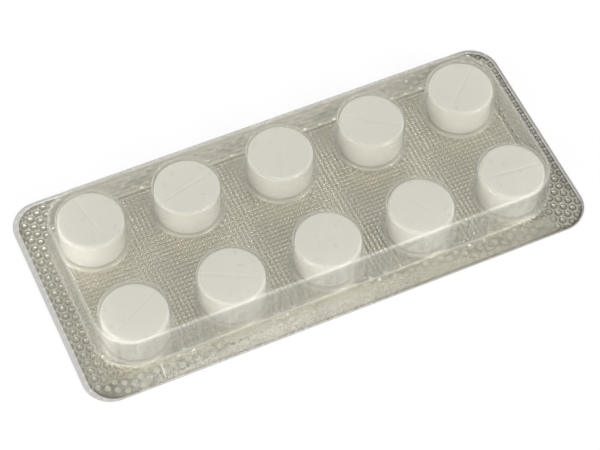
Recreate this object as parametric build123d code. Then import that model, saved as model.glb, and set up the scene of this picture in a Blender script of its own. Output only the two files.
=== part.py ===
"""A push-through blister pack of ten round tablets, lying on its foil.

Millimetres, +Z up. The origin is the middle of the pack on the surface that it lies on,
X runs along its length and Y across the two rows of tablets.
From the bottom up it is a lidding foil, a clear film with ten round pockets, the tablets
inside these, and a clear cover film formed as one shallow tub over all the pockets.
"""
from build123d import *
from math import cos, radians, tan
import os

# Tablets
tablet_diameter = 10.0
tablet_thickness = 5.6
tablet_edge_radius = 0.45
score_width = 0.6
score_depth = 0.08

# How the tablets are set out, and how far towards +X they all lie from the middle of the pack
columns = 5
rows = 2
column_pitch = 15.45
row_pitch = 17.3
pocket_shift = 0.4

# Each tablet leans towards one side of its pocket and has turned in it by chance, in degrees
lean_gap = 0.05
lean_angles = (250, 185, 20, 265, 40, 100, 270, 35, 280, 15)
score_angles = (118, 62, 148, 35, 84, 12, 103, 160, 55, 131)

# Sheets
foil_thickness = 0.05
pocket_film_thickness = 0.25
cover_film_thickness = 0.25

# Pockets
pocket_side_clearance = 0.15
pocket_top_clearance = 0.2
pocket_draft = 3.0
pocket_edge_radius = 0.55
pocket_foot_radius = 0.6

# Cover; its end clearance is the one at the end that the pockets lie nearer to
cover_side_clearance = 0.3
cover_end_clearance = 0.1
cover_top_clearance = 0.7
cover_draft = 3.0
cover_edge_radius = 0.7
cover_foot_radius = 0.6

# Flange that seals the three sheets together, measured out from the foot of the cover's wall
flange_end_width = 3.75
flange_side_width = 3.65
flange_corner_radius = 4.5

# How far the foil stops short of the films' edge, more at the -X end
foil_margin = 0.3
foil_end_margin = 0.9

# How near an edge must lie to the place where it is looked for
tolerance = 0.01

# Levels, from the surface up
foil_top = foil_thickness
pocket_flange_top = foil_top + pocket_film_thickness
tablet_top = foil_top + tablet_thickness
pocket_top = tablet_top + pocket_top_clearance + pocket_film_thickness
cover_flange_top = pocket_flange_top + cover_film_thickness
cover_top = pocket_top + cover_top_clearance + cover_film_thickness


def slope(height, draft):
    """How far a wall of this height leans out from its top to its foot."""
    return height * tan(radians(draft))


def sheet_shift(thickness, draft):
    """How far in the inner corners of a formed sheet lie from its outer corners."""
    return thickness / cos(radians(draft)) - thickness * tan(radians(draft))


# Plan sizes that follow from the tablets
tablet_radius = tablet_diameter / 2
lean_play = pocket_side_clearance - lean_gap
pocket_top_radius = tablet_radius + pocket_side_clearance + sheet_shift(pocket_film_thickness, pocket_draft)
pocket_foot_outer_radius = pocket_top_radius + slope(pocket_top - pocket_flange_top, pocket_draft)
pocket_ring_radius = pocket_foot_outer_radius + pocket_foot_radius

# The cover's wall clears the pockets both at their top and at their foot
reach_at_top = pocket_top_radius - slope(cover_top - pocket_top, cover_draft)
reach_at_foot = pocket_foot_outer_radius - slope(cover_top - pocket_flange_top, cover_draft)
least_reach = max(reach_at_top, reach_at_foot) + sheet_shift(cover_film_thickness, cover_draft)
cover_side_reach = least_reach + cover_side_clearance
cover_end_reach = least_reach + cover_end_clearance + abs(pocket_shift)
cover_top_length = (columns - 1) * column_pitch + 2 * cover_end_reach
cover_top_width = (rows - 1) * row_pitch + 2 * cover_side_reach
cover_foot_spread = slope(cover_top - cover_flange_top, cover_draft)
pack_length = cover_top_length + 2 * (cover_foot_spread + flange_end_width)
pack_width = cover_top_width + 2 * (cover_foot_spread + flange_side_width)


def tablet_places():
    """Centres of the pockets, the front row first, each row from -X to +X."""
    for row in range(rows):
        for column in range(columns):
            x = (column - (columns - 1) / 2) * column_pitch + pocket_shift
            y = (row - (rows - 1) / 2) * row_pitch
            yield x, y


def flange_plate(bottom, thickness):
    """A flat sheet of the pack's full outline."""
    outline = RectangleRounded(pack_length, pack_width, flange_corner_radius)
    return Pos(0, 0, bottom) * extrude(outline, thickness)


def lidding_foil():
    """The flat foil, cut a little short of the films."""
    length = pack_length - foil_end_margin - foil_margin
    width = pack_width - 2 * foil_margin
    outline = RectangleRounded(length, width, flange_corner_radius - foil_margin)
    shift = (foil_end_margin - foil_margin) / 2
    return Pos(shift, 0, 0) * extrude(outline, foil_thickness)


def pocket_shell():
    """One pocket as a turned section: flat top, drafted wall and a rounded foot on its ring of flange."""
    shift = sheet_shift(pocket_film_thickness, pocket_draft)
    top, foot = pocket_top_radius, pocket_foot_outer_radius
    inner_mouth = (foot - shift, foil_top)
    outer_foot = (foot, pocket_flange_top)
    outer_edge = (top, pocket_top)
    inner_edge = (top - shift, pocket_top - pocket_film_thickness)
    section = Polygon(
        inner_mouth,
        (pocket_ring_radius, foil_top),
        (pocket_ring_radius, pocket_flange_top),
        outer_foot,
        outer_edge,
        (0, pocket_top),
        (0, pocket_top - pocket_film_thickness),
        inner_edge,
        align=None,
    )
    rounds = (
        (inner_mouth, pocket_foot_radius),
        (outer_foot, pocket_foot_radius),
        (outer_edge, pocket_edge_radius),
        (inner_edge, pocket_edge_radius - pocket_film_thickness),
    )
    for corner, radius in rounds:
        section = fillet(section.vertices().sort_by_distance(corner)[0], radius)
    return revolve(Plane.XZ * section, Axis.Z)


def blister_film():
    """The inner film: the flange with a pocket set into it over each tablet."""
    film = flange_plate(foil_top, pocket_film_thickness)
    hole = Pos(0, 0, foil_top) * extrude(Circle(pocket_ring_radius), pocket_film_thickness)
    pocket = pocket_shell()
    for x, y in tablet_places():
        film = film - Pos(x, y) * hole + Pos(x, y) * pocket
    return film


def tub(length, width, corner, bottom, top, draft):
    """A drafted block with rounded corners; its sizes are those of its top."""
    outline = RectangleRounded(length, width, corner)
    return Pos(0, 0, top) * extrude(outline, top - bottom, dir=(0, 0, -1), taper=-draft)


def foot_edges(film, level):
    """The edges at this level where the cover's wall, and not the pack's outline, meets the flange."""
    half_length = cover_top_length / 2 + cover_foot_spread + tolerance
    half_width = cover_top_width / 2 + cover_foot_spread + tolerance

    def at_foot(edge):
        middle = edge.center(CenterOf.BOUNDING_BOX)
        inside = abs(middle.X) < half_length and abs(middle.Y) < half_width
        return inside and abs(middle.Z - level) < tolerance

    return film.edges().filter_by(at_foot)


def cover_film():
    """The outer film: one shallow tub over all the pockets, with its foot rounded into the flange."""
    shift = sheet_shift(cover_film_thickness, cover_draft)
    corner = cover_side_reach
    outer = tub(cover_top_length, cover_top_width, corner, cover_flange_top, cover_top, cover_draft)
    outer = fillet(outer.faces().sort_by(Axis.Z)[-1].edges(), cover_edge_radius)
    film = flange_plate(pocket_flange_top, cover_film_thickness) + outer
    film = fillet(foot_edges(film, cover_flange_top), cover_foot_radius)
    inner = tub(
        cover_top_length - 2 * shift,
        cover_top_width - 2 * shift,
        corner - shift,
        pocket_flange_top,
        cover_top - cover_film_thickness,
        cover_draft,
    )
    inner = fillet(inner.faces().sort_by(Axis.Z)[-1].edges(), cover_edge_radius - cover_film_thickness)
    film = film - inner
    return fillet(foot_edges(film, pocket_flange_top), cover_foot_radius + cover_film_thickness)


def tablet(lean, turn):
    """A flat round tablet with rounded edges and a plain break line across its top."""
    body = Pos(0, 0, foil_top) * extrude(Circle(tablet_radius), tablet_thickness)
    body = fillet(body.edges(), tablet_edge_radius)
    groove = Polygon(
        (-score_width / 2, tablet_top),
        (0, tablet_top - score_depth),
        (score_width / 2, tablet_top),
        align=None,
    )
    groove = extrude(Plane.XZ * groove, tablet_radius, both=True)
    return Rot(0, 0, lean) * Pos(lean_play, 0) * Rot(0, 0, turn - lean) * (body - groove)


def write(node, shape):
    """Write one piece as its own file and print its size."""
    shape.label = node
    export_step(shape, os.path.join("parts", node + ".step"))
    size = shape.bounding_box().size
    print(f"{node}: {size.X:.2f} x {size.Y:.2f} x {size.Z:.2f}, volume {shape.volume:.2f}")


def main():
    os.makedirs("parts", exist_ok=True)
    write("lidding_foil", lidding_foil())
    write("blister_film", blister_film())
    write("cover_film", cover_film())
    for number, (x, y) in enumerate(tablet_places()):
        lean = lean_angles[number % len(lean_angles)]
        turn = score_angles[number % len(score_angles)]
        write(f"tablet_{number + 1:02d}", Pos(x, y) * tablet(lean, turn))


main()
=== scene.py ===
"""Dresses a push-through blister pack: clear films, embossed foil and pressed tablets, on a white table."""
import math
import bpy
from mathutils import Matrix, Vector


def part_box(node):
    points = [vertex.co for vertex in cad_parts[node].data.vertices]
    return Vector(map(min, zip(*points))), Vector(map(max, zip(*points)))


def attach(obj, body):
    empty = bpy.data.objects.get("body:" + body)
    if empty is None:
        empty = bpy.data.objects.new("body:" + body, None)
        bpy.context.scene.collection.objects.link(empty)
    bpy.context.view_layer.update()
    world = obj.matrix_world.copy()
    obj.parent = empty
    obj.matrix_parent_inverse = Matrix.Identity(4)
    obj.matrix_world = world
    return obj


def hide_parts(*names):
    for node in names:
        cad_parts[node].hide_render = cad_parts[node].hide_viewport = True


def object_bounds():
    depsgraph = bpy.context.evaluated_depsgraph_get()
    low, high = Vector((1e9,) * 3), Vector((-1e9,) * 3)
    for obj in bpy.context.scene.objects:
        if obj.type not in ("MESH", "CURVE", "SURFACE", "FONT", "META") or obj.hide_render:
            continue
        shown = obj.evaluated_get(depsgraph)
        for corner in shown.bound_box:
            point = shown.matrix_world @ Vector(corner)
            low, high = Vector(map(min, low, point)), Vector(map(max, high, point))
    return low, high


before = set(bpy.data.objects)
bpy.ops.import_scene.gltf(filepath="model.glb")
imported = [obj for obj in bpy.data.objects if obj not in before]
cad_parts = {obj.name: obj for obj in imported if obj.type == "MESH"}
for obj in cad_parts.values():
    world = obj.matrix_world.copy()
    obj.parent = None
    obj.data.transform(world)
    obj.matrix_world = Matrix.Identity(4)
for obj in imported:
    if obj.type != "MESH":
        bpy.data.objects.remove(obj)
cad_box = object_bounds()

MM = 0.001
TURN = 2 * math.pi

# Sizes of the pack, in millimetres
PACK_LENGTH = (cad_box[1].x - cad_box[0].x) / MM
PACK_WIDTH = (cad_box[1].y - cad_box[0].y) / MM
FOIL_LOW, FOIL_HIGH = (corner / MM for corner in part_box("lidding_foil"))
FOIL_TOP = FOIL_HIGH.z
FOIL_LENGTH = FOIL_HIGH.x - FOIL_LOW.x
FOIL_WIDTH = FOIL_HIGH.y - FOIL_LOW.y
FOIL_SHIFT = (FOIL_HIGH.x + FOIL_LOW.x) / 2
FOIL_MARGIN = 0.3
FLANGE_CORNER = 4.5
FLANGE_END = 3.75
FLANGE_SIDE = 3.65
TUB_SPREAD = 0.34
TUB_CORNER = 5.9
TABLETS = [name for name in sorted(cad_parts) if name.startswith("tablet")]
POCKET_RADIUS = 5.75
POCKET_PITCH = 15.45
POCKET_SHIFT = 0.4
POCKET_ROW_Y = 8.65

# Coarse knurl on the flange: round domes in columns along Y, every other column half a step on
KNURL_COLUMN = 1.26
KNURL_STEP = 1.45
DOME_RADIUS = 0.5
DOME_HEIGHT = 0.085
DOME_LEAST = 0.75
DOME_STRAY = 0.05
DOME_FOOT = 0.1
DOME_SEGMENTS = 12
DOME_RINGS = 6
STRAY_SEED = 4
HEIGHT_SEED = 9

# Where the domes stand: inside the foil's edge, and how far outside the foot of the cover's wall
DOME_INSET = 0.5
DOME_START = -0.4

# The knurl is bolder towards both ends, most of all at +X
BOLD_START = 26
BOLD_FULL = 34
BOLD_GROWTH = 0.5
BOLD_LEFT = 0.9

# The front flange, pressed smooth before each pocket, where a wave along X is high
FRONT_FLANGE_Y = 14.9
FRONT_FLANGE_BLEND = 0.6
PRESSED_WAVE = (-0.3, 0.5)
PRESSED_LOSS = 0.75

# Fine square grid on the floor inside the cover: small cushions, lower towards their edges
GRID_PITCH = 0.72
CUSHION_WIDTH = 0.64
CUSHION_HEIGHT = 0.006
CUSHION_FALL_X = 0.35
CUSHION_FALL_Y = 0.8
CUSHION_SINK = 0.5
CUSHION_POINTS = 4
CUSHION_END = -0.5

# Points for both patterns reach over the pack at this pitch, below the least of theirs
LATTICE_PITCH = 0.7

# How finely the foil's corners are cut, and how near two points must lie to be welded
CORNER_CUTS = 12
WELD_DISTANCE = 0.001

# Camera: where it looks, from which side, and through which lens
AIM = Vector((-0.64, -1.28, 0))
CAMERA_AZIMUTH = -26.4
CAMERA_ELEVATION = 56.47
CAMERA_ROLL = 2.26
CAMERA_DISTANCE = 318.6
LENS = 125.47
CLIP_START = 0.01

# Room: bright towards the horizon and dim overhead, a little brighter on the near left
BRIGHT_SIDE = (-0.5, -0.75, 0)
ZENITH_LEVEL = 0.36
HORIZON_LEVEL = 3.5
HORIZON_FALL = 2.0
SIDE_SHARE = 0.12

# No more than this of the room shows in films and foil, which would clip to white in a low view
MIRRORED_LEVEL = 1.1

# Lamps: where each shines from, its width and height in metres, and how bright its face is
LAMP_DISTANCE = 0.6
LAMPS = {
    "left_lamp": ((-0.88, -0.2, 0.42), 0.35, 0.2, 6.7),
    "front_lamp": ((0.4, -0.79, 0.47), 0.3, 0.2, 8.7),
    "far_lamp": ((0.18, 0.79, 0.58), 0.3, 0.08, 4),
}

# Table: half its width and how far it lies under the pack, in metres, and how much of it glows white
TABLE_REACH = 1.5
TABLE_DROP = -0.00002
TABLE_PAINT = 0.95
TABLE_ROUGHNESS = 0.8
TABLE_GLOW = 0.85

# Foil: its colours, and how much painted shade and painted highlight its parts get
FOIL_DARK = (0.85, 0.82, 0.675, 1)
FOIL_LIGHT = (0.94, 0.91, 0.765, 1)
# Painted shade: the dark colour the foil is blended towards between the domes, over the flange's ends, in the
# grid's grooves, on the floor inside the cover and along the curls
PAINTED_SHADE_COLOUR = (0.2, 0.18, 0.14, 1)
SEAT_SHADE = 0.7
SEAT_LEAST = 0.12
SEAT_LEFT = 0.45
SEAT_LEFT_X = (32, 37)
# Painted shade over the whole flange, most at its +X end
END_SHADE = 0.2
# Painted shade in the grid's grooves and on the floor inside the cover
GROOVE_SHADE = 0.15
FLOOR_SHADE = 0.1
# Painted highlight on the domes' crests
CREST_HIGHLIGHT_COLOUR = (0.97, 0.96, 0.92, 1)
CREST_HIGHLIGHT_SHARE = 0.3

# Foil: sizes of its noises, and where its flange begins outside the foot of the cover's wall
PATCH_SCALE = 0.22
GRAIN_SCALE = 9
FINE_DETAIL = 3
CRISP_SCALE = 0.3
FOIL_FLANGE_APART = (-0.6, -0.2)

# Foil: heights of the knurl's waves that mark the seats between the domes, where shade is painted, and their
# crests, where a highlight is painted
SEAT_WAVES = (-0.3, -0.05, 0.2, 0.5)
CREST_WAVES = (0.75, 0.95)

# Foil: how rough and how metallic it is, and its fine bumps in metres
FOIL_ROUGHNESS = 0.2
PATCH_ROUGHNESS = 0.08
PRESSED_ROUGHNESS = 0.16
FLANGE_ROUGHNESS = 0.12
FRONT_ROUGHNESS = 0.24
FRONT_ROUGH_X = (20, 30)
METAL_SHARE = 0.95
GRAIN_BUMP = 0.000003
GRAIN_STRENGTH = 0.5
LINEN_BUMP = 0.000006

# Curls: thin curved lines between the pressed places of the front flange, darkened by painted shade and
# bumped, which the painted light of its milk leaves clearer
CURL_SCALE = 1.5
CURL_HEIGHTS = (0.39, 0.43, 0.47, 0.51)
CURL_SHADE = 0.35
CURL_CLEAR = 0.7
CURL_LOSS = 0.7
CURL_BUMP = 0.00012

# Tablets: colours, a few darker grains, and a fine grain
TABLET_DARK = (0.905, 0.885, 0.795, 1)
TABLET_LIGHT = (0.94, 0.92, 0.83, 1)
SPECK_COLOUR = (0.5, 0.46, 0.38, 1)
SPECK_SCALE = 1.5
SPECK_NOISE = (0.74, 0.8)
SPECK_SHADE = 0.25
POWDER_SCALE = 6
POWDER_UNEVENNESS = 0.6
POWDER_BUMP = 0.00003
POWDER_STRENGTH = 0.4
POWDER_ROUGHNESS = 0.55

# Films: how much each part of the cover is milky
FLAT_HAZE = 0.01
RIM_HAZE = 0.06
# Painted highlight: a brighter milky line along the tub's rim, fainter towards the left
RIM_HIGHLIGHT_LINE = 0.04
LEFT_LINE_SHARE = 0.3
WALL_HAZE = 0.25
LEFT_WALL_HAZE = 0.1
FOOT_HAZE = 0.05
CREASE_HAZE = 0.5
FLANGE_HAZE = 0.07
PRESSED_HAZE = 0.04
# Painted light: milk that lightens the front left of the flange
FRONT_PAINTED_LIGHT = 0.24

# Films: how much each part of the pockets is milky
# Painted highlight: milky rings at each pocket's top edge, fainter on the near side
EDGE_HIGHLIGHT_RING = 0.15
EDGE_HIGHLIGHT_LINE = 0.22
EDGE_NEAR_SHARE = 0.3
POCKET_WALL_HAZE = 0.15
# Painted light: a milky veil on each pocket's foot, and painted highlight rings there
POCKET_FOOT_PAINTED_LIGHT = 0.12
FOOT_RING_HIGHLIGHT = 0.08

# Films: how smoky the pockets' top edge is, and the margin where no foil backs the films
EDGE_SMOKE = 0.25
# Smoke on the margin where no foil backs the films, partly a painted shadow of the pack on the table
MARGIN_SMOKE_AND_SHADOW = 0.4
MARGIN_SMOKE_AND_SHADOW_RIGHT = 0.85
MARGIN_SMOKE_AND_SHADOW_FRONT = 0.8

# Films: colours of the milk and of the smoke, and how much of the veil a lamp's light is spared
RIM_MILK = (0.66, 0.65, 0.6, 1)
FLANGE_MILK = (0.86, 0.845, 0.78, 1)
# Painted shade and light: the near wall's milk is dark, with lighter streaks, and the other walls' milk is
# light
NEAR_WALL_SHADED_MILK = (0.21, 0.203, 0.187, 1)
NEAR_WALL_SHADED_STREAK_MILK = (0.31, 0.299, 0.275, 1)
FAR_WALL_LIT_MILK = (0.56, 0.54, 0.48, 1)
POCKET_MILK = (0.93, 0.92, 0.88, 1)
SMOKE_COLOUR = (0.71, 0.7, 0.675, 1)
VEIL_PASS = 0.6

# Films: how rough they and their milk are, how they mirror, and how narrow their smoky outline is
FILM_ROUGHNESS = 0.08
RIM_ROUGHNESS = 0.55
FOOT_ROUGHNESS = 0.5
MILK_ROUGHNESS = 0.6
MILK_IOR = 1.0
MIRROR_LEAST = 0.04
MIRROR_FALL = 5
COVER_OUTLINE_FALL = 3
POCKET_OUTLINE_FALL = 2

# Films: sizes and bumps of their waves, and the bump of the knurl pressed into the flange
CLOUD_SCALE = 0.5
COVER_WAVE_SCALE = 0.35
POCKET_WAVE_SCALE = 0.5
WAVE_BUMP = 0.0002
WAVE_STRENGTH = 0.25
KNURL_BUMP = 0.0001
# How much the rim's painted highlight line swings with the clouds, and how far it drops
LINE_SWING = 2
LINE_DIP = 0.2

# Streaks on the near wall: waves per millimetre, how they lean with Y, and their range
STREAK_WAVES = (4.1, 6.7, 10.3)
STREAK_LEAN = 0.3
STREAK_RANGE = (-1.8, 1.8)

# Parts of the films by how steep they are: start, full, fade and end, or start and full
TOP_EDGE_STEEP = (0.03, 0.2, 0.75, 0.95)
RIM_LINE_STEEP = (0.12, 0.22, 0.38, 0.5)
EDGE_LINE_STEEP = (0.1, 0.18, 0.34, 0.46)
FOOT_STEEP = (0.1, 0.3, 0.6, 0.8)
OUTER_RING_STEEP = (0.03, 0.07, 0.12, 0.2)
INNER_RING_STEEP = (0.45, 0.55, 0.65, 0.75)
POCKET_FOOT_STEEP = (0.02, 0.1)
WALL_STEEP = (0.6, 0.9)
CUT_EDGE_STEEP = (0.5, 0.9)

# Parts of the films by height in millimetres
COVER_UPPER_Z = (5.6, 6.2)
COVER_FOOT_Z = (1.0, 1.6)
POCKET_UPPER_Z = (4.8, 5.4)
POCKET_LOWER_Z = (0.8, 1.4)
POCKET_WALL_Z = (0.6, 1.2)

# Parts of the films by how far they lie outside the foot of the cover's wall, in millimetres
WALL_APART = (-1.0, -0.6, 1.0, 1.4)
FLANGE_APART = (0.3, 0.9)
INSIDE_APART = (-0.5, 0)
CUT_EDGE_APART = (2, 2.5)

# Parts of the films by place in millimetres; those by Y are measured towards the front, but for FAR_SIDE_Y
LEFT_LINE_X = (-34, -26)
# Where the painted light on the front left of the flange lies along X, and how softly it begins along Y
FRONT_VEIL_X = (-39, -33, -10, 20)
FRONT_VEIL_BLEND = 2
FAR_SIDE_Y = (-2, 3)
BARE_BLEND = (-0.15, 0.1)
SMOKE_RIGHT_X = (10, 38)
SMOKE_FRONT_X = (-38, -34)
SMOKE_FRONT_Y = (17.5, 18.1)

# Where the walls of the tub begin: the right one, and the front and the far one
FAR_WALL_X = 34
FAR_WALL_Y = 11.5
WALL_BLEND = 1.5

# The crease across the front flange: its place, its ends, how far it leans, and how wide and soft it is
CREASE_X = -29.6
CREASE_LOW = -17.9
CREASE_HIGH = -15.2
CREASE_LEAN = 0.12
CREASE_WIDTHS = (0.05, 0.16)
CREASE_BLEND = 0.4

# How many faces of clear film a ray may cross
SHEETS_SEEN_THROUGH = 48


class Wire:
    """A value that runs through a node tree. Arithmetic on it adds Math nodes to the same tree."""

    def __init__(self, graph, socket):
        self.graph = graph
        self.socket = socket

    def math(self, operation, *others):
        return self.graph.wire("ShaderNodeMath", {"operation": operation}, dict(enumerate((self, *others))))

    def __add__(self, other):
        return self.math("ADD", other)

    __radd__ = __add__

    def __sub__(self, other):
        return self.math("SUBTRACT", other)

    def __rsub__(self, other):
        return self * -1 + other

    def __mul__(self, other):
        return self.math("MULTIPLY", other)

    __rmul__ = __mul__

    def __truediv__(self, other):
        return self.math("DIVIDE", other)

    def __pow__(self, other):
        return self.math("POWER", other)

    def __mod__(self, other):
        return self.math("FLOORED_MODULO", other)

    def __gt__(self, other):
        return self.math("GREATER_THAN", other)

    def __lt__(self, other):
        return self.math("LESS_THAN", other)

    def __abs__(self):
        return self.math("ABSOLUTE")


class Graph:
    """One node tree."""

    def __init__(self, tree):
        self.tree = tree

    def node(self, kind, settings=None, sockets=None):
        """Make a node of this type: its settings first, then the values or wires of its sockets."""
        made = self.tree.nodes.new(kind)
        for name, value in (settings or {}).items():
            setattr(made, name, value)
        for name, value in (sockets or {}).items():
            if isinstance(value, Wire):
                self.tree.links.new(value.socket, made.inputs[name])
            else:
                made.inputs[name].default_value = value
        return made

    def wire(self, kind, settings=None, sockets=None, output=0):
        return Wire(self, self.node(kind, settings, sockets).outputs[output])

    def split(self, vector):
        parts = self.node("ShaderNodeSeparateXYZ", None, {0: vector})
        return [Wire(self, part) for part in parts.outputs]

    def join(self, x, y, z):
        return self.wire("ShaderNodeCombineXYZ", None, {0: x, 1: y, 2: z})

    def noise(self, place, scale, detail=2.0, roughness=0.5):
        sockets = {"Vector": place, "Scale": scale, "Detail": detail, "Roughness": roughness}
        return self.wire("ShaderNodeTexNoise", None, sockets)

    def blend_colour(self, factor, first, second):
        """Mix two colours: sockets 6 and 7 are those that take colours."""
        return self.wire("ShaderNodeMix", {"data_type": "RGBA"}, {0: factor, 6: first, 7: second}, 2)

    def blend_shader(self, factor, first, second):
        return self.wire("ShaderNodeMixShader", None, {0: factor, 1: first, 2: second})

    def bump(self, height, distance, strength=1.0, normal=None):
        sockets = {"Height": height, "Distance": distance, "Strength": strength}
        if normal is not None:
            sockets["Normal"] = normal
        return self.wire("ShaderNodeBump", None, sockets)


def grey(level):
    return (level, level, level, 1)


def soft_step(wire, low, high):
    """0 below low, 1 above high and a smooth rise between them."""
    sockets = {"Value": wire, "From Min": low, "From Max": high}
    return wire.graph.wire("ShaderNodeMapRange", {"interpolation_type": "SMOOTHSTEP"}, sockets)


def band(wire, start, full, fade, end):
    """1 between full and fade, with a smooth rise from start and a smooth fall to end."""
    return soft_step(wire, start, full) * (1 - soft_step(wire, fade, end))


def between(share, first, second):
    """The first number where the share is 0, and the second where it is 1."""
    return share * (second - first) + first


def around_one(noise):
    """A noise, which varies about a half, made to vary about 1."""
    return noise + 0.5


def rounded_box_distance(x, y, length, width, corner):
    """How far a point lies outside a rounded rectangle, negative inside it."""
    across = abs(x) - (length / 2 - corner)
    along = abs(y) - (width / 2 - corner)
    outside = (across.math("MAXIMUM", 0) ** 2 + along.math("MAXIMUM", 0) ** 2).math("SQRT")
    return outside + across.math("MAXIMUM", along).math("MINIMUM", 0) - corner


def tub_distance(x, y):
    """How far a point lies outside the foot of the cover's wall."""
    length = PACK_LENGTH - 2 * FLANGE_END
    width = PACK_WIDTH - 2 * FLANGE_SIDE
    return rounded_box_distance(x, y, length, width, TUB_CORNER + TUB_SPREAD)


def new_material(name):
    material = bpy.data.materials.new(name)
    material.use_nodes = True
    material.node_tree.nodes.clear()
    return material, Graph(material.node_tree)


def finish_material(graph, surface):
    graph.node("ShaderNodeOutputMaterial", None, {"Surface": surface})


def place_in_mm(graph):
    """The place on the object, in millimetres, as a vector and as its three numbers."""
    raw = graph.wire("ShaderNodeTexCoord", output="Object")
    place = graph.wire("ShaderNodeVectorMath", {"operation": "SCALE"}, {0: raw, "Scale": 1 / MM})
    return place, *graph.split(place)


def boldness(x):
    """How bold the knurl is: 0 over most of the pack, 1 at its +X end and nearly 1 at its -X end."""
    return soft_step(x, BOLD_START, BOLD_FULL) + soft_step(x * -1, BOLD_START, BOLD_FULL) * BOLD_LEFT


def knurl_shade(x, y):
    """How much painted shade darkens the foil round the knurl's domes and over the flange: most at the +X
    end, and some at the -X end.
    """
    left = soft_step(x * -1, *SEAT_LEFT_X) * (1 - front_flange(y)) * SEAT_LEFT
    return soft_step(x, BOLD_START, BOLD_FULL) * (1 - SEAT_LEAST) + left + SEAT_LEAST


def pressed_smooth(x, y):
    """1 where the front flange was pressed smooth, before each pocket, and 0 elsewhere."""
    wave = ((x - POCKET_SHIFT) * (TURN / POCKET_PITCH)).math("COSINE")
    return soft_step(wave, *PRESSED_WAVE) * front_flange(y)


def front_flange(y):
    """1 on the front flange and 0 elsewhere."""
    return soft_step(y * -1, FRONT_FLANGE_Y, FRONT_FLANGE_Y + FRONT_FLANGE_BLEND)


def curl_noise(g, x, y):
    """The uneven height whose contours are the curls on the front flange."""
    return g.noise(g.join(x, y, 0), CURL_SCALE, 1)


def curl_line(height):
    """1 on the curls' thin curved lines and 0 beside them."""
    return band(height, *CURL_HEIGHTS)


def linen_height(x, y):
    """A fine square grid as a smooth height."""
    turn = TURN / GRID_PITCH
    return (x * turn).math("COSINE") + (y * turn).math("COSINE")


def knurl_height(x, y):
    """The knurl's domes as a smooth height, from three waves that peak together on each dome."""
    across = x * (TURN / KNURL_COLUMN)
    half = x * (TURN / (2 * KNURL_COLUMN))
    along = y * (TURN / KNURL_STEP)
    waves = across.math("COSINE") + (along - half).math("COSINE") + (along + half).math("COSINE")
    return waves / 3


def steepness(g):
    """0 where a surface lies level and 1 where it stands upright."""
    upright = g.split(g.wire("ShaderNodeNewGeometry", output="Normal"))[2]
    return 1 - abs(upright)


def clear_film(g, normal, haze, smoke, outline_fall, milk_colour, roughness=FILM_ROUGHNESS):
    """Glossy see-through film whose mirror share grows towards its edge-on parts.

    Haze is how much of it is milky, and smoke how much of it dims what lies behind. Its outline is
    smoky too, the more narrowly the higher outline_fall is. The milk scatters most of its light onwards,
    so it dims a lamp less than it veils what lies behind it.
    """
    facing = g.wire("ShaderNodeLayerWeight", None, {"Normal": normal}, "Facing")
    mirror = between(facing ** MIRROR_FALL, MIRROR_LEAST, 1)
    clear = g.wire("ShaderNodeBsdfTransparent", None, {"Color": grey(1)})
    dim = g.wire("ShaderNodeBsdfTransparent", None, {"Color": SMOKE_COLOUR})
    gloss = g.wire("ShaderNodeBsdfPrincipled", None,
                   {"Base Color": grey(1), "Metallic": 1, "Roughness": roughness, "Normal": normal})
    milk = g.wire("ShaderNodeBsdfPrincipled", None,
                  {"Base Color": milk_colour, "Roughness": MILK_ROUGHNESS, "IOR": MILK_IOR})
    body = g.blend_shader((facing ** outline_fall).math("MAXIMUM", smoke), clear, dim)
    shadow = g.wire("ShaderNodeLightPath", output="Is Shadow Ray")
    veil = haze * (1 - shadow * VEIL_PASS)
    return g.blend_shader(veil, g.blend_shader(mirror, body, gloss), milk)


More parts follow.
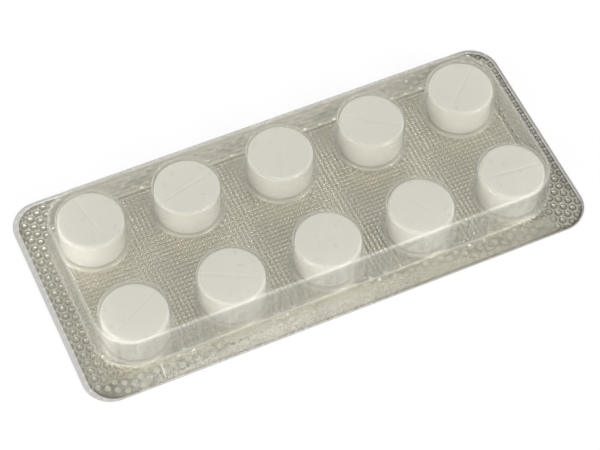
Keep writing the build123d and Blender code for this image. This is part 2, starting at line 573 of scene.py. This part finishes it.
def cover_material():
    """The tub's film: milky on its rim and walls, with a painted highlight line on its rim, painted shade and
    light in its walls' milk and painted light on the front left of its flange; embossed on the flange, and
    smoky where no foil backs it, partly a painted shadow.
    """
    material, g = new_material("cover_clear")
    place, x, y, z = place_in_mm(g)
    steep = steepness(g)
    apart = tub_distance(x, y)
    upper = soft_step(z, *COVER_UPPER_Z)
    rim = band(steep, *TOP_EDGE_STEEP) * upper
    rim_line = band(steep, *RIM_LINE_STEEP) * upper
    away = soft_step((x - FAR_WALL_X).math("MAXIMUM", y - FAR_WALL_Y), 0, WALL_BLEND)
    front = soft_step(y * -1 - FAR_WALL_Y, 0, WALL_BLEND)
    wall_haze = between(away.math("MAXIMUM", front), LEFT_WALL_HAZE, WALL_HAZE)
    wall = soft_step(steep, *WALL_STEEP) * band(apart, *WALL_APART)
    foot = band(steep, *FOOT_STEEP) * (1 - soft_step(z, *COVER_FOOT_Z))
    clouds = g.noise(place, CLOUD_SCALE, 1)
    # Painted highlight: the milky line along the rim, fainter towards the left and uneven with the clouds
    line = between(soft_step(x, *LEFT_LINE_X), LEFT_LINE_SHARE, 1)
    haze = rim * RIM_HAZE + rim_line * line * RIM_HIGHLIGHT_LINE * (clouds * LINE_SWING - LINE_DIP)
    haze = haze + wall * wall_haze * around_one(clouds)
    haze = haze + foot * FOOT_HAZE + crease(x, y) * CREASE_HAZE + FLAT_HAZE
    on_flange = soft_step(apart, *FLANGE_APART)
    haze = haze + on_flange * (1 - boldness(x)) * FLANGE_HAZE + pressed_smooth(x, y) * PRESSED_HAZE
    # Painted light: milk over the front left of the flange, clearer along the curls
    front_left = band(x, *FRONT_VEIL_X) * soft_step(y * -1, FRONT_FLANGE_Y, FRONT_FLANGE_Y + FRONT_VEIL_BLEND)
    veil = front_left * around_one(clouds) * (1 - curl_line(curl_noise(g, x, y)) * CURL_CLEAR)
    haze = haze + veil * FRONT_PAINTED_LIGHT
    smoke = edge_smoke(x, y, steep, apart)
    waves = g.bump(g.noise(place, COVER_WAVE_SCALE, 0), WAVE_BUMP, WAVE_STRENGTH)
    normal = g.bump(knurl_height(x, y) * on_flange, KNURL_BUMP, 1.0, waves)
    # Painted shade and light: dark milk on the near wall, with lighter streaks, and light milk on the other
    # walls
    near_milk = g.blend_colour(streaks(x, y), NEAR_WALL_SHADED_MILK, NEAR_WALL_SHADED_STREAK_MILK)
    milk_colour = g.blend_colour(wall, RIM_MILK, g.blend_colour(front, FAR_WALL_LIT_MILK, near_milk))
    milk_colour = g.blend_colour(on_flange, milk_colour, FLANGE_MILK)
    roughness = foot * FOOT_ROUGHNESS + rim * RIM_ROUGHNESS + FILM_ROUGHNESS
    finish_material(g, clear_film(g, normal, haze, smoke, COVER_OUTLINE_FALL, milk_colour, roughness))
    return material


def streaks(x, y):
    """Uneven upright streaks on a wall, between 0 and 1, from three waves that start apart."""
    along = x + y * STREAK_LEAN
    waves = (along * STREAK_WAVES[0]).math("SINE")
    for number in (1, 2):
        waves = waves + (along * STREAK_WAVES[number] + number).math("SINE")
    return soft_step(waves, *STREAK_RANGE)


def edge_smoke(x, y, steep, apart):
    """How smoky a film is where no foil backs it, partly a painted shadow, and on its cut edge."""
    bare = soft_step(
        rounded_box_distance(x - FOIL_SHIFT, y, FOIL_LENGTH, FOIL_WIDTH, FLANGE_CORNER), *BARE_BLEND)
    margin = between(soft_step(x, *SMOKE_RIGHT_X), MARGIN_SMOKE_AND_SHADOW, MARGIN_SMOKE_AND_SHADOW_RIGHT)
    near = soft_step(y * -1, *SMOKE_FRONT_Y) * soft_step(x, *SMOKE_FRONT_X) * MARGIN_SMOKE_AND_SHADOW_FRONT
    margin = margin.math("MAXIMUM", near)
    cut_edge = soft_step(apart, *CUT_EDGE_APART) * soft_step(steep, *CUT_EDGE_STEEP)
    return (bare * margin).math("MAXIMUM", cut_edge)


def crease(x, y):
    """A short crease that runs across the front flange."""
    aside = abs(x - CREASE_X - (y - CREASE_LOW) * CREASE_LEAN)
    across = 1 - soft_step(aside, *CREASE_WIDTHS)
    return across * band(y, CREASE_LOW, CREASE_LOW + CREASE_BLEND, CREASE_HIGH - CREASE_BLEND, CREASE_HIGH)


def pocket_material():
    """The pockets' film: clear, with painted highlight rings at each top edge, fainter in front, and painted
    light at each foot.
    """
    material, g = new_material("pocket_clear")
    place, x, y, z = place_in_mm(g)
    steep = steepness(g)
    upper = soft_step(z, *POCKET_UPPER_Z)
    edge = band(steep, *TOP_EDGE_STEEP) * upper
    edge_line = band(steep, *EDGE_LINE_STEEP) * upper
    wall = soft_step(steep, *WALL_STEEP) * soft_step(z, *POCKET_WALL_Z)
    apart = tub_distance(x, y)
    lower = (1 - soft_step(z, *POCKET_LOWER_Z)) * (1 - soft_step(apart, *INSIDE_APART))
    rings = (band(steep, *OUTER_RING_STEEP) + band(steep, *INNER_RING_STEEP)) * lower
    foot = soft_step(steep, *POCKET_FOOT_STEEP) * lower
    # Painted highlight: milky rings at the top edge, fainter on the near side
    far_side = between(soft_step(y - y.math("SIGN") * POCKET_ROW_Y, *FAR_SIDE_Y), EDGE_NEAR_SHARE, 1)
    haze = (edge * EDGE_HIGHLIGHT_RING + edge_line * EDGE_HIGHLIGHT_LINE) * far_side + wall * POCKET_WALL_HAZE + FLAT_HAZE
    # Painted light: milk on each pocket's foot, and a painted highlight on its rings
    haze = haze + foot * POCKET_FOOT_PAINTED_LIGHT + rings * FOOT_RING_HIGHLIGHT
    normal = g.bump(g.noise(place, POCKET_WAVE_SCALE, 0), WAVE_BUMP, WAVE_STRENGTH)
    smoke = (edge * EDGE_SMOKE).math("MAXIMUM", edge_smoke(x, y, steep, apart))
    finish_material(g, clear_film(g, normal, haze, smoke, POCKET_OUTLINE_FALL, POCKET_MILK))
    return material


def foil_material():
    """Hard foil: a warm metal, uneven in colour and gloss, with painted shade between its domes and cushions
    and a painted highlight on the domes' crests.
    """
    material, g = new_material("foil_metal")
    place, x, y, z = place_in_mm(g)
    patches = g.noise(place, PATCH_SCALE, FINE_DETAIL)
    grain = g.noise(place, GRAIN_SCALE, FINE_DETAIL)
    colour = g.blend_colour(patches, FOIL_DARK, FOIL_LIGHT)
    height = z - FOIL_TOP
    on_flange = soft_step(tub_distance(x, y), *FOIL_FLANGE_APART)
    pressed = pressed_smooth(x, y)
    crisp = (1 - pressed) * around_one(g.noise(place, CRISP_SCALE))
    waves = knurl_height(x, y)
    # Painted shade between the domes and over the flange, most at its ends
    seat = band(waves, *SEAT_WAVES) * on_flange * knurl_shade(x, y)
    crest = soft_step(waves, *CREST_WAVES) * on_flange
    # Painted shade in the grooves between the cushions and on the floor inside the cover
    groove = (1 - soft_step(height, 0, CUSHION_HEIGHT)) * (1 - on_flange)
    shade = seat * crisp * SEAT_SHADE + knurl_shade(x, y) * on_flange * END_SHADE
    shade = shade + groove * GROOVE_SHADE + (1 - on_flange) * FLOOR_SHADE
    colour = g.blend_colour(shade, colour, PAINTED_SHADE_COLOUR)
    curls = curl_noise(g, x, y)
    curled = front_flange(y) * (1 - boldness(x)) * (1 - pressed * CURL_LOSS)
    # Painted shade along the curls' lines
    colour = g.blend_colour(curl_line(curls) * curled * CURL_SHADE, colour, PAINTED_SHADE_COLOUR)
    # Painted highlight: the domes' crests lightened
    colour = g.blend_colour(crest * crisp * CREST_HIGHLIGHT_SHARE, colour, CREST_HIGHLIGHT_COLOUR)
    plain = (1 - boldness(x)) * on_flange
    front = front_flange(y) * (1 - pressed) * (1 - soft_step(x, *FRONT_ROUGH_X))
    roughness = patches * PATCH_ROUGHNESS + FOIL_ROUGHNESS + pressed * PRESSED_ROUGHNESS
    roughness = roughness + plain * FLANGE_ROUGHNESS + front * FRONT_ROUGHNESS
    normal = g.bump(grain, GRAIN_BUMP, GRAIN_STRENGTH)
    normal = g.bump(linen_height(x, y) * on_flange, LINEN_BUMP, 1.0, normal)
    normal = g.bump(curls * curled, CURL_BUMP, 1.0, normal)
    sockets = {"Base Color": colour, "Metallic": METAL_SHARE, "Roughness": roughness, "Normal": normal}
    surface = g.wire("ShaderNodeBsdfPrincipled", None, sockets)
    finish_material(g, surface)
    return material


def tablet_material():
    """Pressed powder: warm white and matt, with a fine grain and a few darker grains."""
    material, g = new_material("tablet_powder")
    place = place_in_mm(g)[0]
    grain = g.noise(place, POWDER_SCALE, FINE_DETAIL, POWDER_UNEVENNESS)
    clouds = g.noise(place, CLOUD_SCALE)
    colour = g.blend_colour(clouds, TABLET_DARK, TABLET_LIGHT)
    specks = soft_step(g.noise(place, SPECK_SCALE, 0), *SPECK_NOISE)
    colour = g.blend_colour(specks * SPECK_SHADE, colour, SPECK_COLOUR)
    normal = g.bump(grain, POWDER_BUMP, POWDER_STRENGTH)
    surface = g.wire("ShaderNodeBsdfPrincipled", None,
                     {"Base Color": colour, "Roughness": POWDER_ROUGHNESS, "Normal": normal})
    finish_material(g, surface)
    return material


def table_material():
    """A white table: plain white to the eye and in mirrors, where the pack's shadow still shows a little."""
    material, g = new_material("table_white")
    path = g.node("ShaderNodeLightPath")
    seen = Wire(g, path.outputs["Is Camera Ray"])
    for name in ("Is Glossy Ray", "Is Transmission Ray"):
        seen = seen.math("MAXIMUM", Wire(g, path.outputs[name]))
    paint = g.wire("ShaderNodeBsdfPrincipled", None,
                   {"Base Color": grey(TABLE_PAINT), "Roughness": TABLE_ROUGHNESS})
    glow = g.wire("ShaderNodeEmission", None, {"Color": grey(1), "Strength": 1})
    finish_material(g, g.blend_shader(seen * TABLE_GLOW, paint, glow))
    return material


def foil_tree(material):
    """The foil as a rounded sheet that carries the knurl's domes and the grid's cushions, in millimetres."""
    tree = bpy.data.node_groups.new("embossed_foil", "GeometryNodeTree")
    sizes = {
        "Length": FOIL_LENGTH,
        "Width": FOIL_WIDTH,
        "Shift": FOIL_SHIFT,
        "Corner": FLANGE_CORNER - FOIL_MARGIN,
        "Thickness": FOIL_TOP,
        "Knurl column": KNURL_COLUMN,
        "Knurl step": KNURL_STEP,
        "Dome radius": DOME_RADIUS,
        "Dome height": DOME_HEIGHT,
        "Grid pitch": GRID_PITCH,
        "Cushion width": CUSHION_WIDTH,
        "Cushion height": CUSHION_HEIGHT,
    }
    for name in sizes:
        tree.interface.new_socket(name, in_out="INPUT", socket_type="NodeSocketFloat")
    tree.interface.new_socket("Geometry", in_out="OUTPUT", socket_type="NodeSocketGeometry")
    g = Graph(tree)
    given = g.node("NodeGroupInput")
    size = {name: Wire(g, given.outputs[name]) for name in sizes}

    joined = join_parts(g, foil_sheet(g, size), knurl_domes(g, size), grid_cushions(g, size))
    real = g.wire("GeometryNodeRealizeInstances", None, {0: joined})
    scaled = g.wire("GeometryNodeTransform", None, {"Geometry": real, "Scale": (MM, MM, MM)})
    dressed = g.wire("GeometryNodeSetMaterial", None, {"Geometry": scaled, "Material": material})
    g.node("NodeGroupOutput", None, {0: dressed})
    return tree, sizes


def join_parts(g, *parts):
    """Several geometries as one."""
    join = g.node("GeometryNodeJoinGeometry")
    for part in parts:
        g.tree.links.new(part.socket, join.inputs[0])
    return Wire(g, join.outputs[0])


def foil_sheet(g, size):
    """A flat sheet with rounded corners, closed underneath."""
    outline = g.wire("GeometryNodeCurvePrimitiveQuadrilateral", None,
                     {"Width": size["Length"], "Height": size["Width"]})
    rounded = g.wire("GeometryNodeFilletCurve", {"mode": "POLY"},
                     {"Curve": outline, "Radius": size["Corner"], "Count": CORNER_CUTS})
    flat = g.wire("GeometryNodeFillCurve", {"mode": "NGONS"}, {"Curve": rounded})
    upwards = g.join(0, 0, 1)
    raised = g.wire("GeometryNodeExtrudeMesh", None,
                    {"Mesh": flat, "Offset": upwards, "Offset Scale": size["Thickness"], "Individual": False})
    under = g.wire("GeometryNodeFlipFaces", None, {"Mesh": flat})
    both = join_parts(g, raised, under)
    closed = g.wire("GeometryNodeMergeByDistance", None, {"Geometry": both, "Distance": WELD_DISTANCE})
    shift = g.join(size["Shift"], 0, 0)
    return g.wire("GeometryNodeTransform", None, {"Geometry": closed, "Translation": shift})


def lattice(g, column, step, half_step):
    """Points over the whole pack in columns; every other column is half a step on where half_step is 1."""
    columns = 2 * math.ceil(PACK_LENGTH / 2 / LATTICE_PITCH) + 1
    lines = 2 * math.ceil(PACK_WIDTH / 2 / LATTICE_PITCH) + 1
    grid = g.wire("GeometryNodeMeshGrid", None,
                  {"Size X": column * (columns - 1), "Size Y": step * (lines - 1),
                   "Vertices X": columns, "Vertices Y": lines})
    x = g.split(g.wire("GeometryNodeInputPosition"))[0]
    odd = (x / column + 0.5).math("FLOOR") % 2
    shift = g.join(0, odd * step * (half_step / 2), 0)
    return g.wire("GeometryNodeSetPosition", None, {"Geometry": grid, "Offset": shift})


def knurl_domes(g, size):
    """Round domes all over the flange, lower where the flange was pressed smooth."""
    points = lattice(g, size["Knurl column"], size["Knurl step"], 1)
    stray = g.wire("FunctionNodeRandomValue", {"data_type": "FLOAT_VECTOR"},
                   {0: (-DOME_STRAY, -DOME_STRAY, 0), 1: (DOME_STRAY, DOME_STRAY, 0), 8: STRAY_SEED})
    points = g.wire("GeometryNodeSetPosition", None, {"Geometry": points, "Offset": stray})
    uneven = g.wire("FunctionNodeRandomValue", {"data_type": "FLOAT"},
                    {2: DOME_LEAST, 3: 1, 8: HEIGHT_SEED}, 1)
    x, y, z = g.split(g.wire("GeometryNodeInputPosition"))
    outside_foil = rounded_box_distance(x - size["Shift"], y, FOIL_LENGTH, FOIL_WIDTH, FLANGE_CORNER)
    inside_foil = outside_foil < -DOME_INSET
    outside_tub = tub_distance(x, y) > DOME_START
    ball = g.wire("GeometryNodeMeshUVSphere", None,
                  {"Segments": DOME_SEGMENTS, "Rings": DOME_RINGS, "Radius": 1})
    lift = z.math("MAXIMUM", 0) ** 2 + z.math("MAXIMUM", -DOME_FOOT).math("MINIMUM", 0) - z
    flattened = g.wire("GeometryNodeSetPosition", None, {"Geometry": ball, "Offset": g.join(0, 0, lift)})
    smooth = g.wire("GeometryNodeSetShadeSmooth", None, {"Geometry": flattened})
    height = size["Dome height"] * uneven * (boldness(x) * BOLD_GROWTH + 1)
    height = height * (1 - pressed_smooth(x, y) * PRESSED_LOSS)
    scale = g.join(size["Dome radius"], size["Dome radius"], height)
    on_flange = inside_foil * outside_tub
    placed = g.wire("GeometryNodeInstanceOnPoints", None,
                    {"Points": points, "Selection": on_flange, "Instance": smooth, "Scale": scale})
    return g.wire("GeometryNodeTransform", None, {"Geometry": placed, "Translation": (0, 0, FOIL_TOP)})


def grid_cushions(g, size):
    """Small square cushions all over the floor, apart from the places under the tablets."""
    points = lattice(g, size["Grid pitch"], size["Grid pitch"], 0)
    x, y = g.split(g.wire("GeometryNodeInputPosition"))[:2]
    clear = tub_distance(x, y) < CUSHION_END
    for name in TABLETS:
        low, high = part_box(name)
        centre = (low + high) / 2 / MM
        apart = ((x - centre.x) ** 2 + (y - centre.y) ** 2).math("SQRT")
        clear = clear * (apart > POCKET_RADIUS)
    cushion = cushion_shape(g)
    scale = g.join(size["Cushion width"], size["Cushion width"], size["Cushion height"])
    placed = g.wire("GeometryNodeInstanceOnPoints", None,
                    {"Points": points, "Selection": clear, "Instance": cushion, "Scale": scale})
    return g.wire("GeometryNodeTransform", None, {"Geometry": placed, "Translation": (0, 0, FOIL_TOP)})


def cushion_shape(g):
    """One cushion, 1 wide: its top is rounded towards its edges and 1 high, and its foot is sunk a little."""
    block = g.wire("GeometryNodeMeshCube", None,
                   {"Size": (1, 1, 2), "Vertices X": CUSHION_POINTS, "Vertices Y": CUSHION_POINTS,
                    "Vertices Z": 2})
    x, y, z = g.split(g.wire("GeometryNodeInputPosition"))
    crown = (1 - (x * 2) ** 2 * CUSHION_FALL_X) * (1 - (y * 2) ** 2 * CUSHION_FALL_Y)
    shaped = g.wire("GeometryNodeSetPosition", None,
                    {"Geometry": block, "Selection": z > 0, "Offset": g.join(0, 0, crown - 1)})
    seated = g.wire("GeometryNodeSetPosition", None,
                    {"Geometry": shaped, "Selection": z < 0, "Offset": g.join(0, 0, 1 - CUSHION_SINK)})
    return g.wire("GeometryNodeSetShadeSmooth", None, {"Geometry": seated})


def grow(tree, sizes, name):
    """Run a geometry tree and return its result as a plain mesh object."""
    carrier = bpy.data.objects.new("carrier", bpy.data.meshes.new("carrier"))
    bpy.context.scene.collection.objects.link(carrier)
    modifier = carrier.modifiers.new("grow", "NODES")
    modifier.node_group = tree
    for item in tree.interface.items_tree:
        if item.in_out == "INPUT":
            modifier[item.identifier] = sizes[item.name]
    depsgraph = bpy.context.evaluated_depsgraph_get()
    mesh = bpy.data.meshes.new_from_object(carrier.evaluated_get(depsgraph), depsgraph=depsgraph)
    bpy.data.objects.remove(carrier)
    mesh.name = name
    piece = bpy.data.objects.new(name, mesh)
    bpy.context.scene.collection.objects.link(piece)
    return piece


def make_foil():
    """The embossed foil, in place of the plain solid one."""
    tree, sizes = foil_tree(foil_material())
    foil = grow(tree, sizes, "embossed_foil")
    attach(foil, "root")
    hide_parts("lidding_foil")


def dress_nodes():
    """Give each kept solid its finish."""
    finishes = {
        "cover_film": cover_material(),
        "blister_film": pocket_material(),
    }
    powder = tablet_material()
    for name in TABLETS:
        finishes[name] = powder
    for name, finish in finishes.items():
        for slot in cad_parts[name].material_slots:
            slot.material = finish


def make_table():
    """A wide white table under the pack."""
    sides = ((-1, -1), (1, -1), (1, 1), (-1, 1))
    corners = [(x * TABLE_REACH, y * TABLE_REACH, TABLE_DROP) for x, y in sides]
    mesh = bpy.data.meshes.new("table")
    mesh.from_pydata(corners, [], [(0, 1, 2, 3)])
    mesh.materials.append(table_material())
    table = bpy.data.objects.new("table", mesh)
    bpy.context.scene.collection.objects.link(table)


def add_camera():
    """The camera, turned by its azimuth, elevation and roll."""
    a, e, r = (math.radians(angle) for angle in (CAMERA_AZIMUTH, CAMERA_ELEVATION, CAMERA_ROLL))
    back = Vector((math.sin(a) * math.cos(e), -math.cos(a) * math.cos(e), math.sin(e)))
    right = Vector((math.cos(a), math.sin(a), 0))
    up = back.cross(right)
    right, up = right * math.cos(r) + up * math.sin(r), up * math.cos(r) - right * math.sin(r)
    data = bpy.data.cameras.new("camera")
    data.lens = LENS
    data.clip_start = CLIP_START
    camera = bpy.data.objects.new("camera", data)
    turn = Matrix((right, up, back)).transposed().to_4x4()
    camera.matrix_world = Matrix.Translation((AIM + back * CAMERA_DISTANCE) * MM) @ turn
    bpy.context.scene.collection.objects.link(camera)
    bpy.context.scene.camera = camera


def add_lamp(name, direction, width, height, radiance):
    """A soft oblong lamp that shines at the pack; its power follows from how bright its face is."""
    data = bpy.data.lights.new(name, "AREA")
    data.shape = "RECTANGLE"
    data.size = width
    data.size_y = height
    data.energy = radiance * width * height * math.pi
    lamp = bpy.data.objects.new(name, data)
    towards = Vector(direction).normalized()
    lamp.location = towards * LAMP_DISTANCE
    lamp.rotation_mode = "QUATERNION"
    lamp.rotation_quaternion = (-towards).to_track_quat("-Z", "Y")
    bpy.context.scene.collection.objects.link(lamp)


def add_world():
    """A grey room that lights the pack, plain white to the camera."""
    world = bpy.data.worlds.new("room")
    world.use_nodes = True
    world.node_tree.nodes.clear()
    g = Graph(world.node_tree)
    path = g.node("ShaderNodeLightPath")
    seen = Wire(g, path.outputs["Is Camera Ray"])
    direction = g.wire("ShaderNodeTexCoord", output="Generated")
    height = abs(g.split(direction)[2]).math("MINIMUM", 1)
    towards = Vector(BRIGHT_SIDE).normalized()
    side = g.wire("ShaderNodeVectorMath", {"operation": "DOT_PRODUCT"}, {0: direction, 1: towards}, "Value")
    share = (1 - height) ** HORIZON_FALL * (side * SIDE_SHARE + (1 - SIDE_SHARE))
    level = between(share, ZENITH_LEVEL, HORIZON_LEVEL)
    mirrored = Wire(g, path.outputs["Is Glossy Ray"])
    level = level + (level.math("MINIMUM", MIRRORED_LEVEL) - level) * mirrored
    room = g.wire("ShaderNodeBackground", None, {"Color": grey(1), "Strength": level})
    white = g.wire("ShaderNodeBackground", None, {"Color": grey(1), "Strength": 1})
    g.node("ShaderNodeOutputWorld", None, {"Surface": g.blend_shader(seen, room, white)})
    bpy.context.scene.world = world


def light_it():
    """The room and the lamps, and how the picture is taken from them."""
    add_world()
    for name, lamp in LAMPS.items():
        add_lamp(name, *lamp)
    bpy.context.scene.cycles.transparent_max_bounces = SHEETS_SEEN_THROUGH
    bpy.context.scene.view_settings.view_transform = "Standard"


make_foil()
dress_nodes()
make_table()
add_camera()
light_it()
